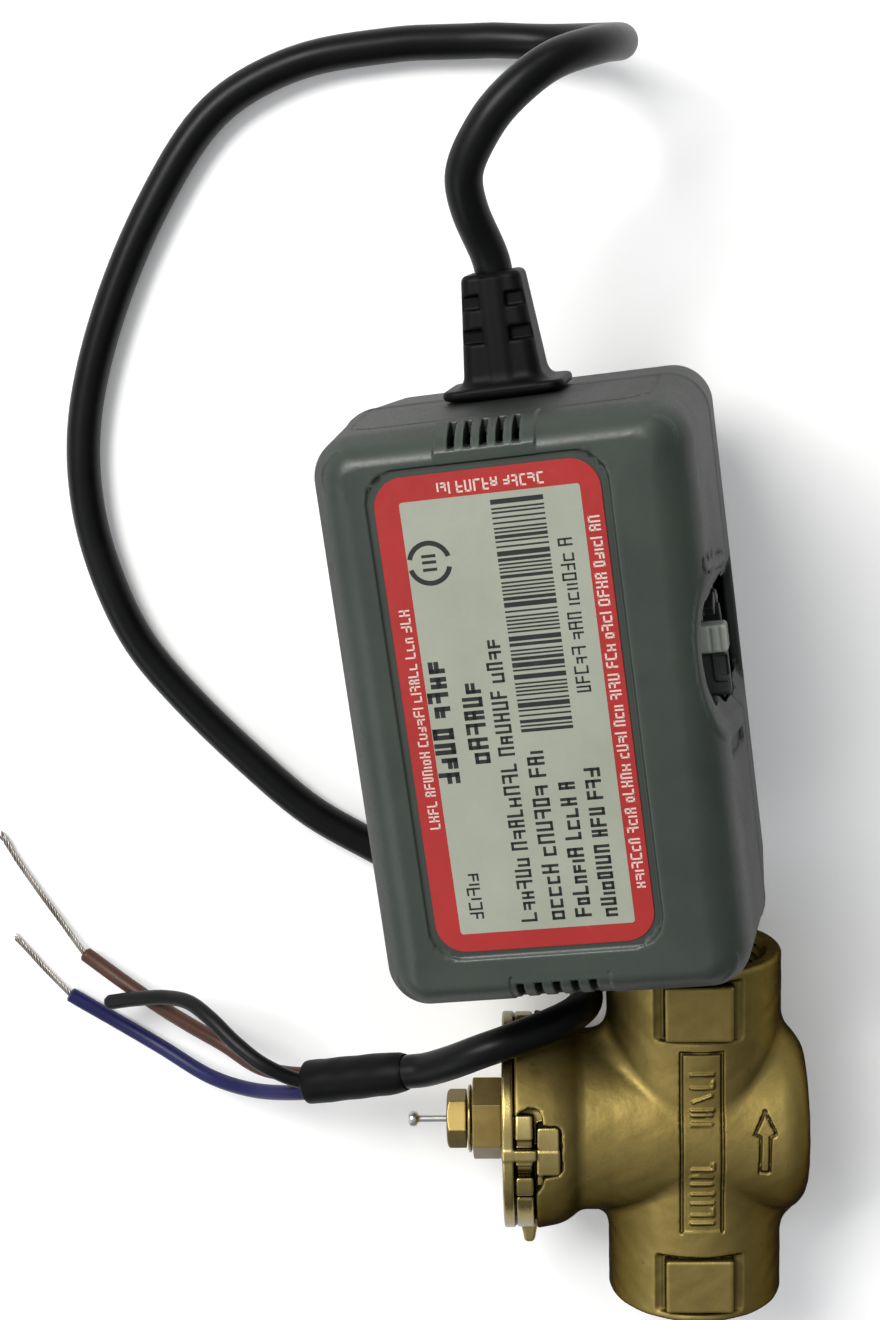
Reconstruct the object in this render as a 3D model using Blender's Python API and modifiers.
"""Two-way zone valve: a brass valve with a detached plug-on motor actuator,
its flex and its three tails.  Metres, +Z up from the bench.

Row frame: the origin is the centre of the flat back face of the brass chamber,
+X points out of that face, +Y runs along the pipe in the flow direction.
The valve and the actuator each hang from an empty.  The valve frame sits on the
pipe axis.  In the actuator frame +Z is the front, +X the coupling side and +Y
the end where the flex comes out.  All sizes below are in millimetres.
"""
import math

import bmesh
import bpy
from mathutils import Vector

MM = 0.001

for old in list(bpy.data.objects):
    bpy.data.objects.remove(old, do_unlink=True)

# ---------------------------------------------------------------- dimensions
# Valve frame
CHAMBER_R, CHAMBER_END = 17.5, 21.5
PIPE_R, PIPE_HALF = 16.5, 34.5
PORT_R, PORT_MOUTH_R, PORT_DEPTH = 12.05, 13.8, 15.5
COLLAR_R, COLLAR_X0, COLLAR_X1 = 21.0, -34.0, -25.9
CARTRIDGE_BORE_R = 13.5
CARTRIDGE_R = CARTRIDGE_BORE_R - 0.35
BONNET_R = 20.5
BONNET_SKIRT_R = 18.2
STEM_R, STEM_HEAD_R = 0.7, 1.6
STEM_HOLE_R = 1.1
GLAND_R, GLAND_SPIGOT_R, GLAND_END = 7.9, 4.0, -31.6

# Actuator frame
ACT_POS = (-47.0, 92.1, 23.7)            # actuator centre, row frame
ACT_TURN = (1.1, -8.0, 6.3)              # degrees about X, then Y, then Z
ACT_HALF_W, ACT_HALF_L, ACT_HALF_H = 31.8, 49.8, 31.8    # along X, Y, Z
ACT_WALL, ACT_DRAFT, ACT_CORNER = 2.0, 1.4, 7.0
ACT_EDGE, ACT_EDGE_END = 6.4, 4.6        # soft outer edge: long sides, short ends
JOINT_GAP = 0.15                         # each cover stops this far from Z = 0
COUPLE_Y = 3.0                           # coupling axis
FLEX_X = -1.4                            # flex axis
BOOT_Y = ACT_HALF_L + 0.25               # outer seat of the strain relief
LABEL_CENTRE = (-2.0, 1.9)

# Flex and tails
CABLE_R, WIRE_R, STRAND_R = 3.2, 1.5, 0.6
CABLE_HOLE_R = CABLE_R + 0.2

# ---------------------------------------------------------------- scene setup
PARTS = bpy.data.collections.new("zone_valve")
CUTTERS = bpy.data.collections.new("zone_valve_cutters")
bpy.context.scene.collection.children.link(PARTS)
bpy.context.scene.collection.children.link(CUTTERS)


def material(name, colour, roughness, metallic=0.0):
    mat = bpy.data.materials.new(name)
    mat.use_nodes = True
    shader = mat.node_tree.nodes["Principled BSDF"]
    shader.inputs["Base Color"].default_value = (*colour, 1.0)
    shader.inputs["Roughness"].default_value = roughness
    shader.inputs["Metallic"].default_value = metallic
    mat.diffuse_color = (*colour, 1.0)
    return mat


BRASS = material("cast_brass", colour=(0.42, 0.31, 0.10), roughness=0.5, metallic=1.0)
POLISHED = material("polished_brass", colour=(0.72, 0.60, 0.26), roughness=0.22, metallic=1.0)
STEEL = material("steel", colour=(0.62, 0.62, 0.60), roughness=0.3, metallic=1.0)
TINNED = material("tinned_copper", colour=(0.55, 0.52, 0.47), roughness=0.35, metallic=1.0)
HOUSING = material("housing_plastic", colour=(0.07, 0.085, 0.075), roughness=0.42)
BLACK = material("black_rubber", colour=(0.012, 0.013, 0.012), roughness=0.45)
WHITE = material("white_plastic", colour=(0.55, 0.57, 0.52), roughness=0.4)
NYLON = material("nylon", colour=(0.75, 0.73, 0.66), roughness=0.4)
DARK = material("dark_plastic", colour=(0.03, 0.035, 0.03), roughness=0.5)
SEAL = material("seal_rubber", colour=(0.02, 0.02, 0.02), roughness=0.6)
LABEL = material("label", colour=(0.45, 0.03, 0.025), roughness=0.35)
BOARD = material("board", colour=(0.03, 0.16, 0.07), roughness=0.5)
BROWN = material("brown_wire", colour=(0.10, 0.035, 0.02), roughness=0.4)
BLUE = material("blue_wire", colour=(0.012, 0.015, 0.12), roughness=0.4)


# ------------------------------------------------------------ shape functions
# An object with no finish is a hidden helper for a boolean.
def metres(point):
    return [value * MM for value in point]


def radians(angles):
    return [math.radians(angle) for angle in angles]


def put(name, data, parent, finish, smooth=True):
    obj = bpy.data.objects.new(name, data)
    if finish:
        PARTS.objects.link(obj)
        data.materials.append(finish)
    else:
        CUTTERS.objects.link(obj)
        obj.hide_render = True
        obj.display_type = "WIRE"
    obj.parent = parent
    if smooth and obj.type == "MESH":
        data.shade_smooth()
    return obj


def frame_empty(name, position, turn=(0, 0, 0)):
    empty = bpy.data.objects.new(name, None)
    PARTS.objects.link(empty)
    empty.location = metres(position)
    empty.rotation_euler = radians(turn)
    return empty


VALVE = frame_empty("valve_frame", (-CHAMBER_END, 0, 0))
ACT = frame_empty("actuator_frame", ACT_POS, ACT_TURN)

AXIS_TURN = {"X": (0, math.pi / 2, 0), "Y": (-math.pi / 2, 0, 0), "Z": (0, 0, 0)}


def turned(name, profile, axis, parent, finish=None, at=(0, 0, 0), steps=24):
    """Turn (along, radius) points about an axis.  A profile either starts and
    ends on the axis or is a closed loop clear of it.  It is run so that its
    outer side goes down the axis."""
    points = [(radius, along) for along, radius in profile]
    count = len(points)
    area = sum(points[i][0] * points[(i + 1) % count][1]
               - points[(i + 1) % count][0] * points[i][1] for i in range(count))
    if area > 0:
        points.reverse()
    edges = [(i, i + 1) for i in range(count - 1)]
    if points[0][0] > 0:
        edges.append((count - 1, 0))
    mesh = bpy.data.meshes.new(name)
    mesh.from_pydata([(radius * MM, 0, along * MM) for radius, along in points], edges, [])
    obj = put(name, mesh, parent, finish)
    obj.location = metres(at)
    obj.rotation_euler = AXIS_TURN[axis]
    screw = obj.modifiers.new("turn", "SCREW")
    screw.axis = "Z"
    screw.steps = screw.render_steps = steps
    screw.use_merge_vertices = True
    screw.merge_threshold = 0.00001
    screw.use_smooth_shade = True
    return obj


def rod(name, axis, centre, radius, length, parent, finish=None, steps=24):
    half = length / 2
    return turned(name, [(-half, 0), (-half, radius), (half, radius), (half, 0)], axis,
                  parent, finish, centre, steps)


def box(name, x_range, y_range, z_range, parent, finish=None, bevel=0.0, segments=1,
        origin=(0, 0, 0)):
    ranges = (x_range, y_range, z_range)
    mesh = bpy.data.meshes.new(name)
    bm = bmesh.new()
    bmesh.ops.create_cube(bm, size=1.0)
    for vert in bm.verts:
        vert.co = Vector([(low + high) / 2 + unit * (high - low) - start
                          for unit, (low, high), start in zip(vert.co, ranges, origin)]) * MM
    bm.to_mesh(mesh)
    bm.free()
    obj = put(name, mesh, parent, finish, smooth=False)
    obj.location = metres(origin)
    if bevel:
        edges = obj.modifiers.new("edges", "BEVEL")
        edges.width = bevel * MM
        edges.segments = segments
    return obj


def flat(name, outlines, z0, z1, finish, at=(0, 0)):
    """Actuator plate between two heights, filled between flat outlines."""
    curve = bpy.data.curves.new(name, "CURVE")
    curve.dimensions = "2D"
    curve.fill_mode = "BOTH"
    curve.extrude = (z1 - z0) / 2 * MM
    for outline in outlines:
        spline = curve.splines.new("POLY")
        spline.points.add(len(outline) - 1)
        for point, (x, y) in zip(spline.points, outline):
            point.co = (x * MM, y * MM, 0, 1)
        spline.use_cyclic_u = True
    obj = put(name, curve, ACT, finish)
    obj.location = metres((*at, (z0 + z1) / 2))
    return obj


def lofted(name, sections, parent, finish=None):
    """Closed skin through sections (z, outline)."""
    mesh = bpy.data.meshes.new(name)
    bm = bmesh.new()
    rings = [[bm.verts.new((x * MM, y * MM, z * MM)) for x, y in outline]
             for z, outline in sections]
    count = len(rings[0])
    for ring, following in zip(rings, rings[1:]):
        for i in range(count):
            j = (i + 1) % count
            bm.faces.new((ring[i], ring[j], following[j], following[i]))
    bm.faces.new(rings[0][::-1])
    bm.faces.new(rings[-1])
    bmesh.ops.recalc_face_normals(bm, faces=bm.faces)
    bm.to_mesh(mesh)
    bm.free()
    return put(name, mesh, parent, finish)


def spline_points(way_points, subdivisions):
    """Centripetal Catmull-Rom curve through the way-points."""
    points = [Vector(point) for point in way_points]
    padded = [points[0] * 2 - points[1]] + points + [points[-1] * 2 - points[-2]]

    def blend(start, end, start_knot, end_knot, knot):
        span = end_knot - start_knot
        return start * ((end_knot - knot) / span) + end * ((knot - start_knot) / span)

    path = []
    for i in range(len(points) - 1):
        p0, p1, p2, p3 = padded[i:i + 4]
        knots = [0.0]
        for start, end in ((p0, p1), (p1, p2), (p2, p3)):
            knots.append(knots[-1] + max((end - start).length, 1e-6) ** 0.5)
        k0, k1, k2, k3 = knots
        for step in range(subdivisions):
            knot = k1 + (k2 - k1) * step / subdivisions
            before = blend(p0, p1, k0, k1, knot)
            between = blend(p1, p2, k1, k2, knot)
            after = blend(p2, p3, k2, k3, knot)
            path.append(blend(blend(before, between, k0, k2, knot),
                              blend(between, after, k1, k3, knot), k1, k2, knot))
    path.append(points[-1])
    return path


def wire(name, way_points, radius, finish, subdivisions=3):
    """Round flex through way-points in the row frame."""
    path = spline_points(way_points, subdivisions)
    curve = bpy.data.curves.new(name, "CURVE")
    curve.dimensions = "3D"
    curve.bevel_depth = radius * MM
    curve.bevel_resolution = 2 if radius > 2 else 1
    curve.use_fill_caps = True
    curve.twist_mode = "MINIMUM"
    spline = curve.splines.new("POLY")
    spline.points.add(len(path) - 1)
    for point, place in zip(spline.points, path):
        point.co = (*metres(place), 1)
    put(name, curve, None, finish)


def boolean(target, helper, operation):
    modifier = target.modifiers.new(operation.lower(), "BOOLEAN")
    modifier.operation = operation
    modifier.solver = "EXACT"
    modifier.object = helper


def cut(target, helper):
    boolean(target, helper, "DIFFERENCE")


def join(target, helper):
    boolean(target, helper, "UNION")


def circle(radius, count, centre=(0, 0)):
    return [(centre[0] + radius * math.cos(2 * math.pi * i / count),
             centre[1] + radius * math.sin(2 * math.pi * i / count)) for i in range(count)]


def rounded_rect(half_x, half_y, radius, steps=3, centre=(0, 0)):
    outline = []
    in_x, in_y = half_x - radius, half_y - radius
    for x, y, start in ((in_x, in_y, 0), (-in_x, in_y, 90),
                        (-in_x, -in_y, 180), (in_x, -in_y, 270)):
        for i in range(steps + 1):
            angle = math.radians(start + 90 * i / steps)
            outline.append((centre[0] + x + radius * math.cos(angle),
                            centre[1] + y + radius * math.sin(angle)))
    return outline


# ------------------------------------------------------------------ the valve
def add_wrench_pads(body):
    for side in (-1, 1):
        for face in (-1, 1):
            join(body, box("wrench_pad_%d%d" % (side + 1, face + 1), (-6.4, 6.4),
                           sorted((side * 21.6, side * 32.2)),
                           sorted((face * 12.0, face * 17.1)), VALVE, bevel=0.5))


def cut_ports(body):
    """A mouth at each pipe end, and an offset way from it into the chamber."""
    bore_end = PIPE_HALF - PORT_DEPTH
    for side in (-1, 1):
        cut(body, turned("port_bore_%d" % (side + 1), [
            (side * (PIPE_HALF + 1.0), 0), (side * (PIPE_HALF + 1.0), PORT_MOUTH_R + 0.6),
            (side * PIPE_HALF, PORT_MOUTH_R), (side * (PIPE_HALF - 1.75), PORT_R),
            (side * bore_end, PORT_R), (side * (bore_end - 1.6), 8.0),
            (side * (bore_end - 1.6), 0)], "Y", VALVE))
        cut(body, rod("flow_way_%d" % (side + 1), "Y", (-side * 3.6, side * 13.0, 0),
                      7.9, 16.0, VALVE, steps=18))


def cut_bayonet_windows(body):
    """Windows through the collar wall, at +Z and -Z."""
    outline = [(-35.0, -5.3), (-28.9, -5.3), (-25.4, -4.3), (-25.4, 5.6), (-28.9, 5.9),
               (-28.9, 9.7), (-35.0, 10.2)]          # x, y
    for z0, z1 in ((15.9, 23.0), (-23.0, -15.9)):
        cut(body, lofted("bayonet_window_%d" % (z0 > 0), [(z0, outline), (z1, outline)], VALVE))


def build_body():
    body = turned("valve_body", [
        (COLLAR_X0, 0), (COLLAR_X0, COLLAR_R - 0.8), (COLLAR_X0 + 0.8, COLLAR_R),
        (COLLAR_X1 - 0.8, COLLAR_R), (COLLAR_X1, COLLAR_R - 0.8), (COLLAR_X1, 17.6),
        (-24.9, 16.9), (-23.4, 16.9), (-22.2, CHAMBER_R), (CHAMBER_END - 3.3, CHAMBER_R),
        (CHAMBER_END - 1.3, CHAMBER_R - 0.7), (CHAMBER_END - 0.3, CHAMBER_R - 2.2),
        (CHAMBER_END, CHAMBER_R - 4.2), (CHAMBER_END, 0)], "X", VALVE, BRASS, steps=32)
    join(body, turned("pipe_barrel", [
        (-PIPE_HALF, 0), (-PIPE_HALF, PIPE_R - 1.0), (-PIPE_HALF + 1.0, PIPE_R),
        (PIPE_HALF - 1.0, PIPE_R), (PIPE_HALF, PIPE_R - 1.0), (PIPE_HALF, 0)],
        "Y", VALVE, steps=32))
    add_wrench_pads(body)
    join(body, box("collar_lug", (-33.8, -30.2), (-25.1, -19.5), (-2.6, 2.6), VALVE, bevel=0.5))
    cut(body, turned("cartridge_bore", [
        (-36.0, 0), (-36.0, 18.6), (-28.0, 18.6), (-28.0, CARTRIDGE_BORE_R),
        (9.5, CARTRIDGE_BORE_R), (12.0, 9.5), (12.0, 0)], "X", VALVE, steps=28))
    cut_ports(body)
    cut_bayonet_windows(body)


def o_ring(name, along, radius, section_r, steps):
    section = [(along + section_r * math.cos(math.radians(angle)),
                radius + section_r * math.sin(math.radians(angle)))
               for angle in range(0, 360, 60)]
    turned(name, section, "X", VALVE, SEAL, steps=steps)


def cut_hexagon(target, name, x_range, radial_range, half_width, turn):
    """Six flats about the X axis, the first turned by some degrees from +Y."""
    for i in range(6):
        block = box("%s_%d" % (name, i), x_range, radial_range, (-half_width, half_width), VALVE)
        block.rotation_euler = (math.radians(60 * i + turn), 0, 0)
        cut(target, block)


def build_bonnet():
    """Flange, skirt with a groove, and spigot with the O-ring groove."""
    turned("bonnet", [
        (-36.5, 4.4), (-36.5, BONNET_R - 0.5), (-36.0, BONNET_R), (-34.9, BONNET_R),
        (-34.35, BONNET_R - 0.5), (-34.35, BONNET_SKIRT_R), (-33.0, BONNET_SKIRT_R),
        (-33.0, 17.0), (-31.6, 17.0), (-31.6, BONNET_SKIRT_R), (-28.35, BONNET_SKIRT_R),
        (-28.35, CARTRIDGE_R), (-26.4, CARTRIDGE_R), (-26.4, 11.25), (-23.9, 11.25),
        (-23.9, CARTRIDGE_R), (-22.2, CARTRIDGE_R), (-22.2, STEM_HOLE_R),
        (-31.2, STEM_HOLE_R), (-31.2, 4.4)], "X", VALVE, POLISHED, steps=28)
    o_ring("bonnet_o_ring", along=-25.15, radius=12.4, section_r=0.85, steps=22)


def build_gland():
    """Hexagon gland nut, washer and stem bush around the stem."""
    nut = turned("gland_nut", [
        (-42.4, 2.5), (-42.4, GLAND_R), (-36.8, GLAND_R), (-36.8, GLAND_SPIGOT_R),
        (GLAND_END, GLAND_SPIGOT_R), (GLAND_END, STEM_HOLE_R), (-38.6, STEM_HOLE_R),
        (-38.6, 2.5)], "X", VALVE, POLISHED)
    cut_hexagon(nut, "hex_flat", (-45, -36.75), (6.9, 12.6), half_width=9, turn=19.6)
    turned("gland_washer", [(-43.3, 2.5), (-43.3, 6.5), (-42.65, 6.5), (-42.65, 2.5)],
           "X", VALVE, POLISHED)
    bush = turned("stem_bush", [
        (-47.4, 1.0), (-47.4, 4.7), (-46.6, 5.7), (-43.6, 5.7), (-43.6, 2.2),
        (-40.6, 2.2), (-40.6, 1.0)], "X", VALVE, POLISHED)
    cut_hexagon(bush, "bush_flat", (-48, -43.5), (4.95, 10.0), half_width=7, turn=2.0)
    o_ring("stem_o_ring", along=-39.6, radius=1.65, section_r=0.6, steps=14)


def build_cartridge():
    cage = turned("cartridge_cage", [
        (-21.8, 2.2), (-21.8, CARTRIDGE_R), (-3.0, CARTRIDGE_R), (-3.0, 11.6),
        (-19.6, 11.6), (-19.6, 2.2)], "X", VALVE, DARK)
    cut(cage, box("cage_windows", (-17.6, -5.0), (-15, 15), (-6.5, 6.5), VALVE))
    turned("seat_ring", [(-2.7, 7.0), (-2.7, CARTRIDGE_R), (0.0, CARTRIDGE_R), (0.0, 8.4),
                         (-0.6, 7.0)], "X", VALVE, POLISHED)


def build_stem():
    """Headed stem with the seal, plunger and clip threaded on its +X end."""
    turned("stem", [
        (-54.9, 0), (-54.9, STEM_HEAD_R - 0.3), (-54.6, STEM_HEAD_R), (-53.4, STEM_HEAD_R),
        (-53.1, STEM_HEAD_R - 0.3), (-53.1, STEM_R), (6.6, STEM_R), (6.9, STEM_R - 0.3),
        (6.9, 0)], "X", VALVE, STEEL, steps=16)
    turned("plunger_seal", [(0.3, 1.05), (0.3, 9.2), (2.0, 9.2), (2.0, 1.05)],
           "X", VALVE, SEAL, steps=20)
    turned("plunger", [(2.3, 1.0), (2.3, 10.2), (3.9, 10.2), (4.6, 4.0), (5.2, 4.0),
                       (5.2, 1.0)], "X", VALVE, NYLON, steps=20)
    turned("stem_clip", [(5.5, 1.0), (5.5, 2.6), (6.2, 2.6), (6.2, 1.0)],
           "X", VALVE, STEEL, steps=12)


build_body()
build_bonnet()
build_gland()
build_cartridge()
build_stem()

# --------------------------------------------------------------- the housing
EDGE_STEPS = 3                           # sections round the soft edge
SCREW_X, SCREW_Y = 25.05, 43.1
SCREW_PLACES = [(-SCREW_X, -SCREW_Y), (SCREW_X, -SCREW_Y), (SCREW_X, SCREW_Y),
                (-SCREW_X, SCREW_Y)]
POST_R, POST_HOLE_R = 3.45, 1.8
POST_NEAR, POST_FAR = JOINT_GAP + 0.2, 28.4
STAND_OFF_FOOT = -31.0
STAND_OFFS = [(-17.0, 8.5, -14.9), (17.5, 8.5, -14.9), (-17.5, -36.5, -14.9),
              (-16.5, 26.0, -17.3), (16.5, 37.0, -17.3)]     # x, y, z of the free end

# Scallop that clears the coupling: half an ellipse cut into the +X side
SCALLOP_X, SCALLOP_Y = 32.5, 4.8         # ellipse centre
SCALLOP_FLOOR_X, SCALLOP_HALF_Y = 28.2, 12.6
SCALLOP_Z0 = -24.5


def shell_sections(sign, inset, z_start, z_face):
    """Rounded sections from near the joint plane out to a flat face with a soft edge."""
    edge = ACT_EDGE - inset * 0.6
    z_edge = z_face - edge
    levels = []                          # z, narrowing in X, narrowing in Y, corner radius
    for z in (z_start, z_edge):
        draft = ACT_DRAFT * max(z, 0) / ACT_HALF_H
        levels.append((z, draft + inset, draft + inset, ACT_CORNER - inset))
    draft = ACT_DRAFT * z_edge / ACT_HALF_H
    for i in range(1, EDGE_STEPS + 1):
        angle = math.radians(90 * i / EDGE_STEPS)
        turn_in = 1 - math.cos(angle)
        levels.append((z_edge + edge * math.sin(angle),
                       draft + inset + edge * turn_in,
                       draft + inset + ACT_EDGE_END * edge / ACT_EDGE * turn_in,
                       max(ACT_CORNER - inset - 0.5 * edge * turn_in, 1.2)))
    return [(sign * z, rounded_rect(ACT_HALF_W - narrow_x, ACT_HALF_L - narrow_y, corner))
            for z, narrow_x, narrow_y, corner in levels]


def build_cover(name, sign):
    cover = lofted(name, shell_sections(sign, 0.0, JOINT_GAP, ACT_HALF_H), ACT, HOUSING)
    cut(cover, lofted(name + "_hollow",
                      shell_sections(sign, ACT_WALL, -2.0, ACT_HALF_H - ACT_WALL), ACT))
    for i, (x, y) in enumerate(SCREW_PLACES):
        join(cover, rod("%s_post_%d" % (name, i), "Z",
                        (x, y, sign * (POST_NEAR + POST_FAR) / 2), POST_R,
                        POST_FAR - POST_NEAR, ACT, steps=15))
        if sign > 0:
            hole = rod("front_screw_hole_%d" % i, "Z", (x, y, 3.0), POST_HOLE_R, 10.0, ACT,
                       steps=10)
        else:
            hole = turned("rear_screw_hole_%d" % i, [
                (1.0, 0), (1.0, POST_HOLE_R), (-28.0, POST_HOLE_R), (-28.0, 3.0), (-40, 3.0),
                (-40, 0)], "Z", ACT, at=(x, y, 0), steps=12)
        cut(cover, hole)
    return cover


def build_cover_screws():
    """Screws with socketed heads, put in from the rear."""
    profile = [(6.4, 0), (6.4, 0.5), (5.0, 1.45), (-28.3, 1.45), (-28.3, 2.7), (-30.0, 2.7),
               (-30.6, 2.0), (-30.6, 0.9), (-29.6, 0.9), (-29.6, 0)]
    for i, (x, y) in enumerate(SCREW_PLACES):
        turned("cover_screw_%d" % (i + 1), profile, "Z", ACT, STEEL, (x, y, 0), steps=10)


def add_stand_offs(cover):
    for i, (x, y, z) in enumerate(STAND_OFFS):
        join(cover, rod("stand_off_%d" % i, "Z", (x, y, (z + STAND_OFF_FOOT) / 2), 2.2,
                        z - STAND_OFF_FOOT, ACT, steps=10))


def cut_shared_openings(covers):
    scallop = [(SCALLOP_X + (SCALLOP_X - SCALLOP_FLOOR_X) * math.cos(math.radians(15 * i)),
                SCALLOP_Y + SCALLOP_HALF_Y * math.sin(math.radians(15 * i)))
               for i in range(24)]
    opening = lofted("coupling_opening", [(SCALLOP_Z0, scallop), (ACT_HALF_H + 2, scallop)], ACT)
    flex_hole = rod("flex_hole", "Y", (FLEX_X, 49.0, 0), 5.3, 12.0, ACT)
    for cover in covers:
        cut(cover, opening)
        cut(cover, flex_hole)


def cut_label_recess(cover):
    outline = rounded_rect(19.4, 41.0, 5.4, 5, LABEL_CENTRE)
    cut(cover, lofted("label_recess", [(ACT_HALF_H - 0.55, outline), (ACT_HALF_H + 2, outline)],
                      ACT))


def cut_vents(cover):
    """Rows of slots in the front edge, at the +Y end and the -Y end."""
    rows = (("top", -7.2, 2.6, 1.1, (45.4, 60)),       # name, first x, pitch, width, y range
            ("bottom", -8.2, 3.05, 1.3, (-60, -44.2)))
    for i in range(5):
        for name, first, pitch, width, y_range in rows:
            x = first + pitch * i
            cut(cover, box("%s_vent_%d" % (name, i), (x, x + width), y_range, (25.6, 40), ACT))


front_cover = build_cover("front_cover", 1)
rear_cover = build_cover("rear_cover", -1)
build_cover_screws()
add_stand_offs(rear_cover)
cut_shared_openings((front_cover, rear_cover))
cut_label_recess(front_cover)
cut_vents(front_cover)
flat("label", [rounded_rect(18.2, 39.85, 5.0, 5, LABEL_CENTRE)], ACT_HALF_H - 0.5,
     ACT_HALF_H - 0.2, LABEL)


# ---------------------------------------------------------------- coupling
def build_coupling():
    turned("coupling_ring", [(22.4, 7.6), (22.4, 9.4), (29.2, 9.4), (29.2, 8.4), (28.4, 7.6)],
           "X", ACT, DARK, (0, COUPLE_Y, 0))
    box("latch_button", (18.5, 31.7), (5.0, 9.7), (11.9, 16.4), ACT, WHITE, bevel=0.5,
        segments=2, origin=(25.0, 7.35, 14.0))
    plate = box("socket_plate", (24.2, 25.8), (-12.0, 18.0), (-27.0, 27.0), ACT, DARK)
    cut(plate, rod("socket_hole", "X", (25.0, COUPLE_Y, 0), 9.8, 6.0, ACT))
    cut(plate, box("latch_slot", (20.0, 30.0), (4.5, 10.2), (6.0, 16.9), ACT))
    join(plate, box("socket_frame", (25.0, 31.2), (-3.0, 4.4), (10.3, 13.4), ACT, bevel=0.4))
    join(plate, box("socket_boss", (25.0, 29.2), (-8.6, -3.8), (7.6, 13.6), ACT, bevel=1.0,
                    segments=2))


build_coupling()

# ---------------------------------------------------------------- gear train
MODULE = 0.8
PRESSURE_ANGLE = math.radians(20)
TOOTH_FILL = 0.41                        # tooth width at the pitch line / pitch
ADDENDUM, DEDENDUM = 0.75 * MODULE, 1.05 * MODULE
TEETH_RACK_PINION, TEETH_WHEEL, TEETH_PINION = 12, 30, 10
GEAR_GAP = 0.1
CENTRES = MODULE * (TEETH_WHEEL + TEETH_PINION) / 2 + GEAR_GAP
TO_IDLER, TO_MOTOR = math.radians(-120.0), math.radians(-35.0)
OUTPUT_AXIS = (-2.0, -5.0)
IDLER_AXIS = (OUTPUT_AXIS[0] + CENTRES * math.cos(TO_IDLER),
              OUTPUT_AXIS[1] + CENTRES * math.sin(TO_IDLER))
MOTOR_AXIS = (IDLER_AXIS[0] + CENTRES * math.cos(TO_MOTOR),
              IDLER_AXIS[1] + CENTRES * math.sin(TO_MOTOR))
OUTPUT_BORE, SMALL_BORE = circle(2.1, 16), circle(1.5, 14)
FORK_HALF_Z = 2.4                        # the rack pinion is as thick as the fork


def gear_outline(teeth, spin):
    """Involute teeth; tooth 0 is centred on the spin angle."""
    pitch_r = teeth * MODULE / 2
    base_r = pitch_r * math.cos(PRESSURE_ANGLE)
    tip_r, root_r = pitch_r + ADDENDUM, pitch_r - DEDENDUM

    def involute(angle):
        return math.tan(angle) - angle

    def half_angle(radius):
        pressure = math.acos(min(1.0, base_r / max(radius, base_r)))
        return TOOTH_FILL * math.pi / teeth + involute(PRESSURE_ANGLE) - involute(pressure)

    if teeth > 20:
        radii = [root_r, pitch_r, tip_r]
    else:
        radii = [root_r, max(base_r, root_r + 0.02), pitch_r, tip_r]
    flank = [(radius, -half_angle(radius)) for radius in radii]
    flank += [(radius, half_angle(radius)) for radius in reversed(radii)]
    outline = []
    for tooth in range(teeth):
        middle = spin + 2 * math.pi * tooth / teeth
        outline += [(radius * math.cos(middle + offset), radius * math.sin(middle + offset))
                    for radius, offset in flank]
    return outline


def gear(name, teeth, spin, bore, z0, z1, axis, finish=NYLON):
    flat(name, [gear_outline(teeth, spin), bore], z0, z1, finish, axis)


def build_gears():
    # a tooth of each wheel points at its pinion; the pinion turns a gap to it
    gap_back = math.pi + math.pi / TEETH_PINION
    gear("output_gear", TEETH_WHEEL, TO_IDLER, OUTPUT_BORE, -10.1, -8.1, OUTPUT_AXIS)
    gear("idler_pinion", TEETH_PINION, TO_IDLER + gap_back, SMALL_BORE, -10.1, -7.9, IDLER_AXIS)
    gear("idler_gear", TEETH_WHEEL, TO_MOTOR, SMALL_BORE, -12.6, -10.5, IDLER_AXIS)
    gear("motor_pinion", TEETH_PINION, TO_MOTOR + gap_back, SMALL_BORE, -12.7, -10.4,
         MOTOR_AXIS, POLISHED)
    gear("rack_pinion", TEETH_RACK_PINION, math.pi / 2, OUTPUT_BORE, -FORK_HALF_Z,
         FORK_HALF_Z, OUTPUT_AXIS)


def build_shafts():
    rod("output_shaft", "Z", (*OUTPUT_AXIS, -5.6), 1.75, 17.4, ACT, STEEL, steps=16)
    rod("idler_pin", "Z", (*IDLER_AXIS, -11.0), 1.15, 6.8, ACT, STEEL, steps=14)
    rod("motor_shaft", "Z", (*MOTOR_AXIS, -18.0), 1.15, 15.8, ACT, STEEL, steps=14)


def build_drive_fork():
    """Rack on the -Y edge and a fork at the +X end, outlined from the coupling axis."""
    pitch = math.pi * MODULE
    pitch_y = OUTPUT_AXIS[1] + TEETH_RACK_PINION * MODULE / 2 + GEAR_GAP - COUPLE_Y
    tip, root = pitch_y - ADDENDUM, pitch_y + DEDENDUM
    half_tooth = TOOTH_FILL * pitch / 2
    half_tip = half_tooth - math.tan(PRESSURE_ANGLE) * ADDENDUM
    half_root = half_tooth + math.tan(PRESSURE_ANGLE) * DEDENDUM
    outline = [(-15.0, root)]
    for tooth in range(7):
        # half a pitch off, so a gap sits over the pinion's upright tooth
        middle = OUTPUT_AXIS[0] + (tooth - 3.5) * pitch
        outline += [(middle - half_root, root), (middle - half_tip, tip),
                    (middle + half_tip, tip), (middle + half_root, root)]
    outline += [(15.0, root), (21.8, -2.4), (21.8, -1.0), (18.6, -1.0), (18.6, -2.0),
                (16.0, -2.0), (16.0, 2.0), (18.6, 2.0), (18.6, 1.0), (21.8, 1.0),
                (21.8, 2.4), (15.0, 3.2), (-15.0, 3.2)]
    flat("drive_fork", [outline], -FORK_HALF_Z, FORK_HALF_Z, NYLON, (0, COUPLE_Y))


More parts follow.
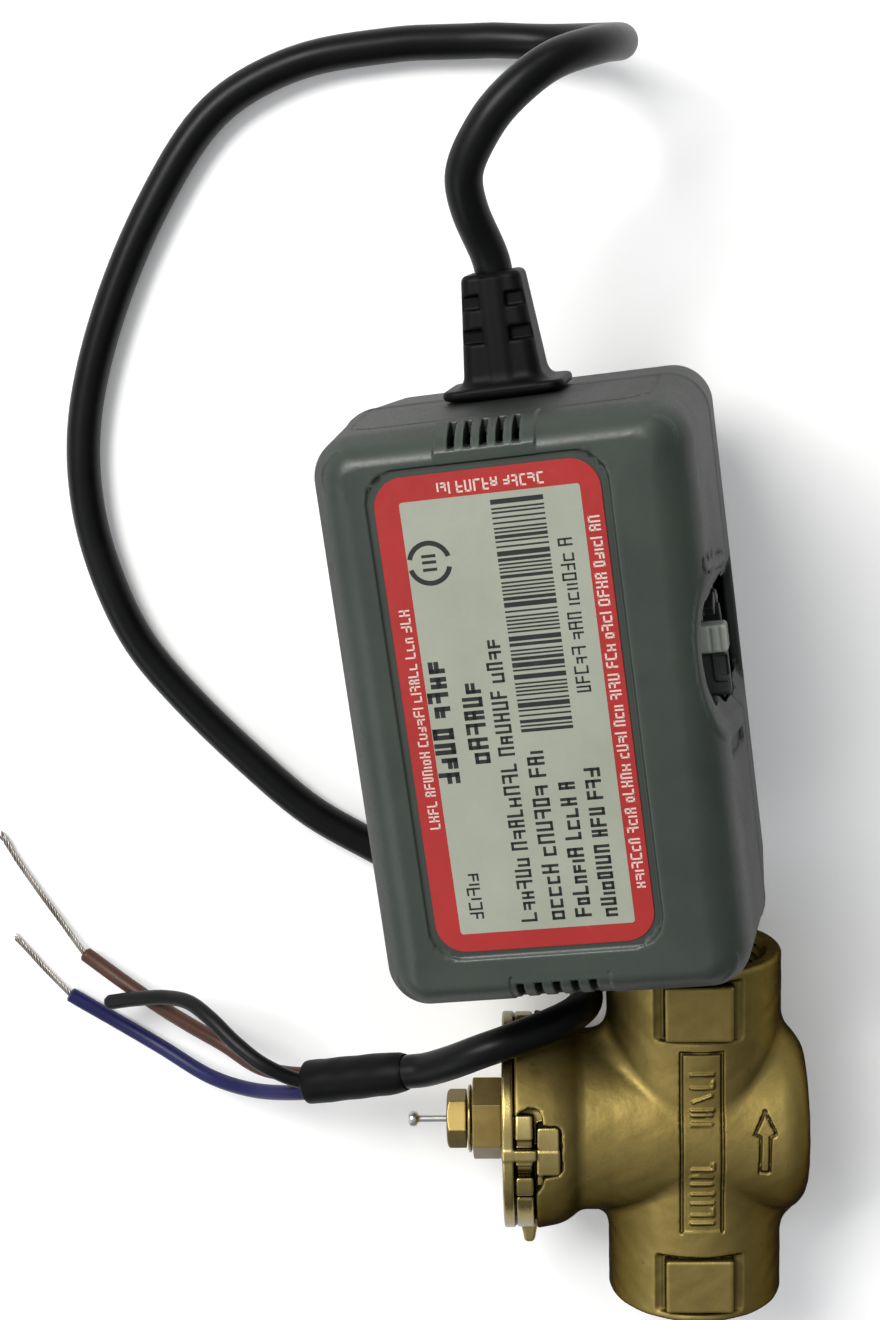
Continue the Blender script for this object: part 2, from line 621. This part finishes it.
def build_motor():
    turned("motor_can", [
        (-28.6, 0), (-28.6, 14.2), (-27.8, 15.0), (-16.0, 15.0), (-15.2, 14.2),
        (-15.2, 1.5), (-26.2, 1.5), (-26.2, 0)], "Z", ACT, STEEL, (*MOTOR_AXIS, 0))
    flat("gear_plate", [rounded_rect(21.4, 26.5, 3.0, 3, (0, -14.0)),
                        circle(1.6, 16, MOTOR_AXIS), circle(1.45, 16, IDLER_AXIS),
                        circle(2.1, 16, OUTPUT_AXIS)], -14.6, -13.4, STEEL)


build_gears()
build_shafts()
build_drive_fork()
build_motor()


# ------------------------------------------------- switches, board and clamp
def build_electrics():
    for i, x in enumerate((-15.5, -2.5)):
        box("limit_switch_%d" % (i + 1), (x, x + 11.0), (10.6, 16.4), (-3.2, 3.2), ACT, DARK,
            bevel=0.4)
        box("switch_lever_%d" % (i + 1), (x, x + 10.0), (8.6, 9.0), (-2.0, 2.0), ACT, STEEL,
            origin=(x, 8.8, 0))
    flat("circuit_board", [rounded_rect(20.8, 11.5, 1.0, 2, (0, 31.5))], -17.0, -15.4, BOARD)
    box("terminal_block", (-9.5, 7.5), (24.5, 33.5), (-15.1, -7.6), ACT, DARK, bevel=0.5)
    clamp = box("flex_clamp", (-9.0, 6.2), (39.4, 42.6), (-5.6, 5.6), ACT, DARK, bevel=0.6)
    cut(clamp, rod("flex_clamp_bore", "Y", (FLEX_X, 41.0, 0), CABLE_HOLE_R, 8.0, ACT, steps=16))


build_electrics()


# --------------------------------------------------------------- strain relief
def build_strain_relief():
    """Tapered boot with a flange outside the housing, a neck through the wall
    and notches in its +Z and -Z faces."""
    boot = lofted("strain_relief", [
        (0, rounded_rect(10.4, 7.6, 2.4, 2)), (1.6, rounded_rect(10.4, 7.6, 2.4, 2)),
        (2.6, rounded_rect(7.0, 6.2, 2.0, 2)), (19.5, rounded_rect(5.2, 4.9, 1.8, 2)),
        (20.3, rounded_rect(4.5, 4.2, 1.5, 2))], ACT, BLACK)
    boot.location = metres((FLEX_X, BOOT_Y, 0))
    boot.rotation_euler = AXIS_TURN["Y"]
    join(boot, turned("boot_neck", [(-4.6, 0), (-4.6, 7.2), (-3.0, 7.2), (-3.0, 4.9),
                                    (0.8, 4.9), (0.8, 0)],
                      "Y", ACT, at=(FLEX_X, BOOT_Y, 0), steps=16))
    cut(boot, rod("boot_bore", "Y", (FLEX_X, 58.0, 0), CABLE_HOLE_R, 60.0, ACT, steps=16))
    for row, y in enumerate((59.0, 64.6)):
        for side in (-1, 1):
            x = FLEX_X + side * 5.0
            for mark, z_range in (("", (3.9, 12)), ("r", (-12, -3.9))):
                cut(boot, box("boot_notch_%s%d%d" % (mark, row, side + 1), (x - 2.2, x + 2.2),
                              (y, y + 2.2), z_range, ACT))


build_strain_relief()

# ----------------------------------------------------- flex and tails, row frame
SLEEVE_FROM, SLEEVE_TO = Vector((-76.0, 13.0, 8.4)), Vector((-95.5, 8.6, 2.5))
SLEEVE_LENGTH = (SLEEVE_TO - SLEEVE_FROM).length
SLEEVE_WAY = (SLEEVE_TO - SLEEVE_FROM).normalized()

FLEX_START_Y = (37.5, 48, 60, 66, 72)    # along the flex axis, actuator frame
FLEX_WAY_POINTS = [
    # up and over, then back down to the bench in one tight loop
    (-59.9, 172, 28), (-60.6, 178, 30), (-57.2, 185, 31.5), (-53.5, 189.5, 32),
    (-46.5, 195, 30.5), (-38.5, 198, 23), (-34, 199.5, 8), (-37.5, 200.8, -8),
    (-46.5, 201.4, -15), (-61.5, 202.4, -17.8),
    # round the bench
    (-77, 201.7, -17.8), (-93, 199.1, -17.8), (-108, 191.2, -17.8), (-120.2, 174.5, -17.8),
    (-130.2, 153.5, -17.8), (-135.5, 134.5, -17.8), (-135.9, 119.3, -17.8),
    (-133.1, 105.5, -17.8), (-127.3, 91.5, -17.8), (-118, 79.5, -17.8),
    (-106.5, 67.5, -17.8), (-95, 57, -17.8),
    # under the actuator, up beside the pipe and over the shoulder of the collar
    (-83.5, 50, -17.8), (-71, 43, -17.8), (-58, 36.5, -17.4), (-48, 31.5, -13.5),
    (-43, 27, -6), (-41.8, 24.5, 1.5), (-44, 23.8, 6.6), (-48, 23.0, 10.1),
    (-52.5, 22.0, 12.4), (-57.5, 20.6, 13.8), (-62, 18.9, 13.6), (-67, 16.4, 12.1)]

# name, finish, offsets from the sleeve axis inside and at its mouth, then way-points
TAILS = [
    ("wire_black", BLACK, (0, 0.87, 1.56), (0, 0.87, 1.6), [
        (-103.5, 13, 4.5), (-109, 16.7, 2.6), (-114.3, 20.7, -0.6), (-118.7, 22.6, -4),
        (-123.7, 22.4, -7.4), (-130.6, 21, -10.6), (-136.6, 19.6, -12.4)]),
    ("wire_brown", BROWN, (0, 0.87, -1.56), (0, 0.95, -1.56), [
        (-104.7, 10, -1.5), (-112.5, 13.6, -5), (-119.5, 16, -9), (-126, 18.5, -12.8),
        (-133, 22.3, -15.6), (-138.3, 25.6, -17.4), (-141.8, 28, -18.2)]),
    ("wire_blue", BLUE, (0, -1.83, 0), (0, -2.0, -0.1), [
        (-107.4, 3.2, -7), (-116.8, 3.7, -13), (-127.4, 8.4, -17.6), (-136, 13.1, -19.2),
        (-142.7, 17.2, -19.4), (-145.5, 19, -19.4)])]
BROWN_STRANDS = [(-142.05, 28.4, -18.25), (-146, 34, -19.1), (-150.3, 40.4, -19.6),
                 (-154.5, 47, -20), (-157.7, 52.9, -20.1)]
BLUE_STRANDS = [(-145.85, 19.4, -19.55), (-150.2, 24, -20), (-153.5, 28, -20.2),
                (-156.4, 31.3, -20.3)]


def build_flex():
    bpy.context.view_layer.update()      # brings the actuator frame's matrix up to date
    start = [ACT.matrix_world @ (Vector((FLEX_X, y, 0)) * MM) / MM for y in FLEX_START_Y]
    end = [SLEEVE_FROM + SLEEVE_WAY * along for along in (-4.0, -0.8, 1.5, 8.0)]
    end.append(SLEEVE_TO - SLEEVE_WAY * 6.0)
    wire("flex_cable", start + FLEX_WAY_POINTS + end, CABLE_R, BLACK, subdivisions=2)


def build_end_sleeve():
    sleeve = turned("flex_end_sleeve", [
        (0, 3.45), (0, 3.65), (0.8, 3.95), (4.0, 4.15), (SLEEVE_LENGTH - 0.5, 4.25),
        (SLEEVE_LENGTH, 3.95), (SLEEVE_LENGTH, 3.45)], "Z", None, BLACK, SLEEVE_FROM, steps=16)
    sleeve.rotation_euler = SLEEVE_WAY.to_track_quat("Z", "Y").to_euler()


def build_tails():
    inside = SLEEVE_TO - SLEEVE_WAY * 5.0
    mouth = inside + SLEEVE_WAY * 5.4
    for name, finish, inner_offset, mouth_offset, way_points in TAILS:
        lead = [inside + Vector(inner_offset), mouth + Vector(mouth_offset)]
        wire(name, lead + way_points, WIRE_R, finish)
    wire("brown_strands", BROWN_STRANDS, STRAND_R, TINNED)
    wire("blue_strands", BLUE_STRANDS, STRAND_R, TINNED)


build_flex()
build_end_sleeve()
build_tails()
